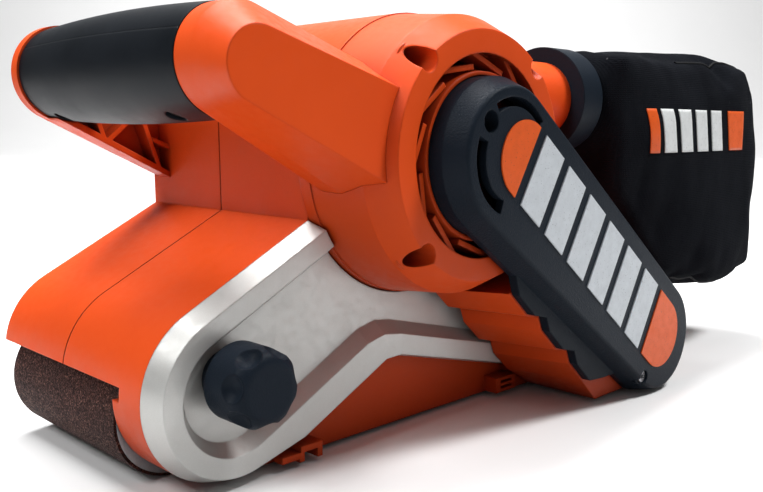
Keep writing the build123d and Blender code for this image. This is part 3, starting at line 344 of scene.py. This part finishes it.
def woven_black():
    """Dense black polyester: plain weave, painted sheen on the fold ridges with painted shade in the fold
    hollows, a little lint and sawdust.
    """
    material, tree, shader = new_look("woven_black")
    where = place(tree)
    warp = add(tree, "TexWave", {"bands_direction": "X"}, Vector=where, Scale=360.0, Distortion=0.6,
               Detail=1.0).outputs["Fac"]
    weft = add(tree, "TexWave", {"bands_direction": "Z"}, Vector=where, Scale=360.0, Distortion=0.6,
               Detail=1.0).outputs["Fac"]
    weave = math(tree, "MAXIMUM", warp, weft)
    creases = speckle(tree, place(tree, (1.0, 1.0, 0.4), (0.0, 0.5, 0.0)), 38.0, 6.0, 0.6)
    # painted sheen and shade: lighter on the fold ridges, darker in the fold hollows, following the fold
    # bumps
    colour = blend(tree, level(tree, creases, 0.38, 0.72), CLOTH, CLOTH_PAINTED_SHEEN)
    lint = grains(tree, place(tree, (1.0, 1.0, 0.35), (0.0, 0.7, 0.0)), 210.0).outputs["Distance"]
    sparse = level(tree, speckle(tree, where, 46.0, 2.0), 0.60, 0.70)
    specks = math(tree, "MULTIPLY", level(tree, lint, 0.10, 0.04), sparse)
    colour = blend(tree, math(tree, "MULTIPLY", specks, 0.7), colour, LINT)
    feed(tree, shader.inputs["Base Color"], colour)
    feed(tree, shader.inputs["Roughness"], 0.9)
    feed(tree, shader.inputs["Specular IOR Level"], 0.03)
    relief(tree, shader, [(creases, 0.35, 0.003), (weave, 0.6, 0.00035)])
    return material


def plain_rubber(name, tone, streak):
    """Black technical rubber, dull, with moulding streaks."""
    material, tree, shader = new_look(name)
    where = place(tree)
    cloud = speckle(tree, where, 160.0, 5.0, 0.6)
    colour = blend(tree, level(tree, cloud, 0.4, 0.75), (tone, tone, tone * 1.06, 1.0), streak)
    feed(tree, shader.inputs["Base Color"], colour)
    feed(tree, shader.inputs["Roughness"], level(tree, cloud, 0.3, 0.7, 0.58, 0.78))
    feed(tree, shader.inputs["Specular IOR Level"], 0.15)
    relief(tree, shader, [(speckle(tree, where, 1800.0), 0.3, 0.00015)], edge=0.0005)
    return material


def pressed_cork():
    """Cushion under the wear plate: cork crumbs bound with rubber."""
    material, tree, shader = new_look("pressed_cork")
    where = place(tree)
    crumbs = grains(tree, where, 620.0)
    tone = add(tree, "SeparateColor", Color=crumbs.outputs["Color"]).outputs["Green"]
    colour = blend(tree, tone, CORK_DARK, CORK_PALE)
    feed(tree, shader.inputs["Base Color"], colour)
    feed(tree, shader.inputs["Roughness"], 0.85)
    relief(tree, shader, [(crumbs.outputs["Distance"], 0.6, 0.0006)])
    return material


LOOKS = {
    "body_orange": moulded_orange(),
    "cover_black": textured_black(),
    "control_black": textured_black("control_black", gloss=0.40, sparkle=0.35),
    "grip_rubber": soft_rubber(),
    "plate_silver": silver_paint(),
    "label_grey": printed("label_grey", LABEL_GREY),
    "label_orange": printed("label_orange", LABEL_ORANGE),
    "steel": metal("ground_steel", STEEL, STEEL_DARK, (0.4, 6.0, 0.4), 0.22),
    "core_steel": stacked_sheet(),
    "cast_aluminium": cast_metal(),
    "copper": wound_copper(),
    "brass": metal("drawn_brass", BRASS, (0.35, 0.22, 0.08, 1.0), (0.4, 3.0, 3.0), 0.28),
    "carbon": plain_rubber("pressed_carbon", 0.02, (0.06, 0.06, 0.06, 1.0)),
    "fan_plastic": textured_black("fan_plastic", gloss=0.46, sparkle=0.2),
    "belt_rubber": plain_rubber("belt_rubber", 0.012, (0.03, 0.03, 0.03, 1.0)),
    "roller_rubber": plain_rubber("roller_rubber", 0.02, (0.05, 0.05, 0.055, 1.0)),
    "cushion": pressed_cork(),
    "abrasive": abrasive_cloth(),
    "bag_fabric": woven_black(),
    "screw_steel": metal("plated_steel", (0.36, 0.36, 0.38, 1.0), STEEL_DARK, (2.0, 2.0, 2.0), 0.30),
}

EVEN_CUT = (2.0, 2.0, 2.0)
BLACKENED = metal("blackened_steel", (0.035, 0.035, 0.037, 1.0), (0.012, 0.012, 0.013, 1.0), EVEN_CUT, 0.38)

for part in frame["record"]["subparts"]:
    mesh = NODES[part["node"]].data
    mesh.materials.clear()
    mesh.materials.append(BLACKENED if part["node"] == "grip_screws" else LOOKS[part["material_slot"]])


# ---------------------------------------------------------------- mesh helpers
def new_piece(name, vertices, faces, look):
    """Mesh object from points and faces."""
    mesh = bpy.data.meshes.new(name)
    mesh.from_pydata([tuple(v) for v in vertices], [], faces)
    mesh.materials.append(look)
    piece = bpy.data.objects.new(name, mesh)
    SCENE.collection.objects.link(piece)
    return piece


def smooth(piece):
    """Shade every face of a piece smooth."""
    for face in piece.data.polygons:
        face.use_smooth = True


def apply_modifiers(piece):
    """Replace a piece's mesh with what its modifiers make of it."""
    shown = piece.evaluated_get(bpy.context.evaluated_depsgraph_get())
    mesh = bpy.data.meshes.new_from_object(shown)
    piece.modifiers.clear()
    piece.data = mesh


def surface_of(piece):
    """Ray-casting tree over a piece's mesh."""
    points = [vertex.co.copy() for vertex in piece.data.vertices]
    faces = [tuple(face.vertices) for face in piece.data.polygons]
    return BVHTree.FromPolygons(points, faces)


def touch(tree, start, way):
    """Point and normal where a ray meets a surface, nudged if it slips between two faces."""
    for nudge in range(20):
        spot, normal, _, _ = tree.ray_cast(start + Vector((0.00007, 0.00003, 0.00005)) * nudge, way)
        if spot is not None:
            return spot, normal
    raise ValueError(f"nothing along {way} from {start}")


# ---------------------------------------------------------------- dust bag
BAG_LOW, BAG_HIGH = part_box("dust_bag")
RING_LOW, RING_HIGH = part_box("bag_ring")
BAG_INSET = 0.0015           # the cloth starts this much inside its outline
BAG_SPREAD = 0.007           # the filled cloth reaches this much past its CAD solid at the rear
BAG_CAP = 0.006              # most that a point of the cloth may move
VOXEL = 0.0045               # mesh size of the bag before it swells
SWELL_STEPS = 20
SEAM_R = 0.0006
SEAM_POINTS = 170
SEAM_FROM, SEAM_TO = -105, 110   # degrees round the side outline, from the rear
FILM_THICK = 0.0004          # printed film on the cloth
FILM_LIFT = 0.0005
FILM_STEPS = 14
BAG_MIDDLE_Y = (BAG_LOW.y + BAG_HIGH.y) / 2
NECK_Z = (RING_LOW.z + RING_HIGH.z) / 2
NECK_R = (RING_HIGH.z - RING_LOW.z) / 2


def bag_outline():
    """Side outline of the bag, from the top of its mouth round to the bottom of it."""
    x, z = BAG_LOW.x, BAG_LOW.z
    wide, tall = BAG_HIGH.x + BAG_SPREAD - x, BAG_HIGH.z - z
    shares = [(0.0, 0.98), (0.0, 0.46), (0.12, 0.29), (0.30, 0.10), (0.47, 0.06), (0.78, 0.0), (1.0, 0.07),
              (0.995, 0.62), (0.96, 0.86), (0.89, 0.99), (0.67, 1.01), (0.35, 0.99)]
    return [(x + a * wide, z + b * tall) for a, b in shares]


def bag_blank():
    """Closed blank of the bag: its side outline drawn out sideways, with a short neck at the mouth."""
    outline = bag_outline()
    count = len(outline)
    centre = Vector((sum(p[0] for p in outline) / count, 0, sum(p[1] for p in outline) / count))
    body = bmesh.new()
    rings = []
    for y in (BAG_LOW.y + BAG_INSET, BAG_HIGH.y - BAG_INSET):
        ring = []
        for x, z in outline:
            inward = (centre - Vector((x, 0, z))).normalized() * BAG_INSET
            ring.append(body.verts.new((x + inward.x, y, z + inward.z)))
        rings.append(ring)
    near, far = rings
    body.faces.new(near)
    body.faces.new(list(reversed(far)))
    for index in range(count):
        after = (index + 1) % count
        body.faces.new((near[index], far[index], far[after], near[after]))
    turn = Matrix.Translation(((RING_LOW.x + BAG_LOW.x + 0.012) / 2, BAG_MIDDLE_Y + 0.002, NECK_Z))
    bmesh.ops.create_cone(body, cap_ends=True, segments=40, radius1=NECK_R + 0.0004, radius2=NECK_R + 0.003,
                          depth=0.017, matrix=turn @ Matrix.Rotation(pi / 2, 4, "Y"))
    bmesh.ops.recalc_face_normals(body, faces=body.faces)
    mesh = bpy.data.meshes.new("dust_bag_cloth")
    body.to_mesh(mesh)
    body.free()
    bag = bpy.data.objects.new("dust_bag_cloth", mesh)
    SCENE.collection.objects.link(bag)
    remesh = bag.modifiers.new("voxels", "REMESH")
    remesh.mode = "VOXEL"
    remesh.voxel_size = VOXEL
    apply_modifiers(bag)
    return bag


def inflate(bag):
    """Let the cloth swell under a little pressure, held at its neck, then cap how far it went."""
    before = [v.co.copy() for v in bag.data.vertices]
    held = bag.vertex_groups.new(name="held")
    held.add([v.index for v in bag.data.vertices if v.co.x < BAG_LOW.x + 0.004], 1.0, "REPLACE")
    cloth = bag.modifiers.new("swell", "CLOTH")
    cloth.settings.vertex_group_mass = "held"
    cloth.settings.use_pressure = True
    cloth.settings.uniform_pressure_force = 3.0
    cloth.settings.tension_stiffness = 25.0
    cloth.settings.compression_stiffness = 10.0
    cloth.settings.bending_stiffness = 1.5
    cloth.settings.effector_weights.gravity = 0.0
    cloth.point_cache.frame_end = SWELL_STEPS
    for step in range(1, SWELL_STEPS + 1):
        SCENE.frame_set(step)
    apply_modifiers(bag)
    for vertex, start in zip(bag.data.vertices, before):
        move = vertex.co - start
        if move.length > BAG_CAP:
            vertex.co = start + move.normalized() * BAG_CAP


def crease(bag):
    """Soft folds that fan out from the neck, and slack dents over the sides."""
    mouth = Vector((BAG_LOW.x, BAG_MIDDLE_Y, NECK_Z))
    for vertex in bag.data.vertices:
        reach = vertex.co - mouth
        away = reach.length
        if vertex.co.x < BAG_LOW.x + 0.001:
            continue
        ramp = min(1.0, max(0.0, (vertex.co.x - BAG_LOW.x) / 0.02))
        fan = noise.noise(Vector((reach.z / (away + 0.02) * 5.0, reach.y / (away + 0.02) * 2.0, away * 9.0)))
        slack = noise.noise(vertex.co * 19.0 + Vector((3.1, 0.7, 5.2)))
        fine = noise.noise(vertex.co * 55.0 + Vector((1.3, 4.1, 0.2)))
        depth = ramp * (0.0028 * fan * max(0.0, 1.0 - away / 0.11) + 0.0020 * slack + 0.0007 * fine)
        vertex.co += vertex.normal * depth
    low = Vector((RING_LOW.x, BAG_LOW.y - 0.003, BAG_LOW.z - 0.002))
    high = Vector((BAG_HIGH.x + BAG_SPREAD + 0.001, BAG_HIGH.y + 0.002, BAG_HIGH.z + 0.003))
    for vertex in bag.data.vertices:
        vertex.co = Vector(min(max(c, a), b) for c, a, b in zip(vertex.co, low, high))


def seam(tree, name, y, look):
    """Flat-felled seam that follows the bag's rim at one side, as a thin raised welt."""
    middle = Vector((BAG_LOW.x * 0.45 + BAG_HIGH.x * 0.55, y, BAG_LOW.z * 0.48 + BAG_HIGH.z * 0.52))
    curve = bpy.data.curves.new(name, "CURVE")
    curve.dimensions = "3D"
    curve.bevel_depth = SEAM_R
    curve.bevel_resolution = 2
    line = curve.splines.new("POLY")
    points = []
    for index in range(SEAM_POINTS):
        angle = radians(SEAM_FROM + (SEAM_TO - SEAM_FROM) * index / (SEAM_POINTS - 1))
        way = Vector((cos(angle), 0, sin(angle)))
        spot, normal = touch(tree, middle + way * 0.2, -way)
        points.append(spot + normal * 0.0001)
    line.points.add(len(points) - 1)
    for point, spot in zip(line.points, points):
        point.co = (*spot, 1.0)
    curve.materials.append(look)
    welt = bpy.data.objects.new(name, curve)
    SCENE.collection.objects.link(welt)
    return welt


def patch(tree, name, corners, look):
    """Thin printed piece laid on the bag's near side; corners are X, Z points, going round."""
    vertices = []
    for row in range(FILM_STEPS + 1):
        for column in range(FILM_STEPS + 1):
            u, v = column / FILM_STEPS, row / FILM_STEPS
            low = Vector(corners[0]).lerp(Vector(corners[1]), u)
            high = Vector(corners[3]).lerp(Vector(corners[2]), u)
            x, z = low.lerp(high, v)
            spot, normal = touch(tree, Vector((x, BAG_LOW.y - 0.1, z)), Vector((0, 1, 0)))
            vertices.append(spot + normal * FILM_LIFT)
    wide = FILM_STEPS + 1
    faces = [(r * wide + c, r * wide + c + 1, (r + 1) * wide + c + 1, (r + 1) * wide + c)
             for r in range(FILM_STEPS) for c in range(FILM_STEPS)]
    piece = new_piece(name, vertices, faces, look)
    solid = piece.modifiers.new("thickness", "SOLIDIFY")
    solid.thickness = FILM_THICK
    apply_modifiers(piece)
    smooth(piece)
    return piece


bag = bag_blank()
inflate(bag)
crease(bag)
finer = bag.modifiers.new("finer", "SUBSURF")
finer.levels = 1
finer.render_levels = 1
apply_modifiers(bag)
bag.data.materials.clear()
bag.data.materials.append(LOOKS["bag_fabric"])
smooth(bag)
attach(bag, "bag")
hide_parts("dust_bag")

bag_surface = surface_of(bag)
thread = plain_rubber("seam_thread", 0.004, (0.010, 0.011, 0.013, 1.0))
for side, y in (("near", BAG_LOW.y + 0.009), ("far", BAG_HIGH.y - 0.009)):
    welt = seam(bag_surface, f"bag_seam_{side}", y, thread)
    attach(welt, "bag")

BAND_X = BAG_LOW.x + 0.0155
BAND_Z = BAG_LOW.z + 0.073
BAND_LONG = 0.096
BAND_HIGH = 0.0195
LEAN = 0.004                 # how far each slice's foot stands off its top
BARS = 4
BAR_START, BAR_STEP, BAR_WIDE = 0.11, 0.165, 0.115   # shares of the band's length
print_white = printed("print_white", PRINT_WHITE)


def band_piece(name, start, end, look, lean_start=LEAN, lean_end=LEAN):
    """Slice of the bag's printed band between two shares of its length."""
    x0, x1 = BAND_X + start * BAND_LONG, BAND_X + end * BAND_LONG
    top = BAND_Z + BAND_HIGH
    corners = [(x0 + lean_start, BAND_Z), (x1 + lean_end, BAND_Z), (x1, top), (x0, top)]
    piece = patch(bag_surface, name, corners, look)
    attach(piece, "bag")


band_piece("band_end_left", 0.0, 0.07, LOOKS["label_orange"])
for index in range(BARS):
    start = BAR_START + index * BAR_STEP
    band_piece(f"band_bar_{index}", start, start + BAR_WIDE, print_white)
band_piece("band_end_right", 0.80, 1.0, LOOKS["label_orange"], lean_end=0.0)


# ---------------------------------------------------------------- floor, light and camera
FLOOR_NEAR, FLOOR_FAR = -4.0, 3.0
FLOOR_HALF = 6.0             # half its width
FLOOR_DROP = 0.0002          # the floor lies this far under the sole
SWEEP_R = 1.6
WALL_TOP = 5.0
WALL_WAY = 45.3              # degrees; the wall stands this way from the object


def backdrop():
    """Pale floor that curves up into a wall far behind."""
    profile = [(FLOOR_NEAR, 0.0), (FLOOR_FAR, 0.0)]
    profile += [(FLOOR_FAR + SWEEP_R * sin(radians(a)), SWEEP_R - SWEEP_R * cos(radians(a)))
                for a in range(10, 91, 10)]
    profile.append((FLOOR_FAR + SWEEP_R, WALL_TOP))
    way = Vector((cos(radians(WALL_WAY)), sin(radians(WALL_WAY)), 0))
    side = Vector((-way.y, way.x, 0))
    vertices = []
    for reach, height in profile:
        for across in (-FLOOR_HALF, FLOOR_HALF):
            vertices.append(way * reach + side * across + Vector((0, 0, height - FLOOR_DROP)))
    faces = [(2 * i, 2 * i + 1, 2 * i + 3, 2 * i + 2) for i in range(len(profile) - 1)]
    material, tree, shader = new_look("backdrop_paper")
    grain = speckle(tree, place(tree), 6.0, 4.0)
    paper = blend(tree, grain, PAPER_WHITE, PAPER_BRIGHT)
    bounce = add(tree, "LightPath").outputs["Is Diffuse Ray"]
    feed(tree, shader.inputs["Base Color"], blend(tree, bounce, paper, PAPER_BOUNCE))
    feed(tree, shader.inputs["Roughness"], 0.9)
    floor = new_piece("backdrop", vertices, faces, material)
    smooth(floor)


def softbox(name, where, target, wide, tall, power):
    """Rectangular soft light aimed at a point."""
    light = bpy.data.lights.new(name, "AREA")
    light.shape = "RECTANGLE"
    light.size = wide
    light.size_y = tall
    light.energy = power
    lamp = bpy.data.objects.new(name, light)
    lamp.location = where
    lamp.rotation_euler = (Vector(target) - Vector(where)).to_track_quat("-Z", "Y").to_euler()
    SCENE.collection.objects.link(lamp)


MIDDLE = (0.0, 0.0, 0.05)
NOSE = (-0.08, 0.0, 0.05)

backdrop()
softbox("key_box", (0.52, -0.55, 1.10), MIDDLE, 0.25, 0.25, 12.5)
softbox("top_box", (0.00, 0.25, 1.05), MIDDLE, 0.8, 0.5, 17.0)
softbox("front_box", (-0.90, 0.05, 0.95), NOSE, 0.4, 0.4, 6.2)
softbox("wall_wash", (1.2, 1.2, 2.2), (3.0, 3.0, 0.2), 2.0, 1.0, 110.0)

world = bpy.data.worlds.new("studio")
world.use_nodes = True
sky = world.node_tree.nodes["Background"]
sky.inputs["Color"].default_value = (1.0, 1.0, 1.0, 1.0)
sky.inputs["Strength"].default_value = 0.16
SCENE.world = world
SCENE.view_settings.view_transform = "Standard"

CAMERA_AT = (-0.2470, -0.2828, 0.1146)
RIGHT = (0.7074, -0.7068, 0.0033)
UP = (0.0920, 0.0966, 0.9911)
BACK = (-0.7008, -0.7008, 0.1334)
camera_data = bpy.data.cameras.new("camera")
camera_data.lens = 41.1
camera_data.sensor_width = 36.0
camera_data.shift_x = -0.0046
camera_data.shift_y = -0.0033
camera_data.clip_start = 0.01
camera = bpy.data.objects.new("camera", camera_data)
SCENE.collection.objects.link(camera)
camera.matrix_world = Matrix((
    (RIGHT[0], UP[0], BACK[0], CAMERA_AT[0]),
    (RIGHT[1], UP[1], BACK[1], CAMERA_AT[1]),
    (RIGHT[2], UP[2], BACK[2], CAMERA_AT[2]),
    (0.0, 0.0, 0.0, 1.0),
))
SCENE.camera = camera
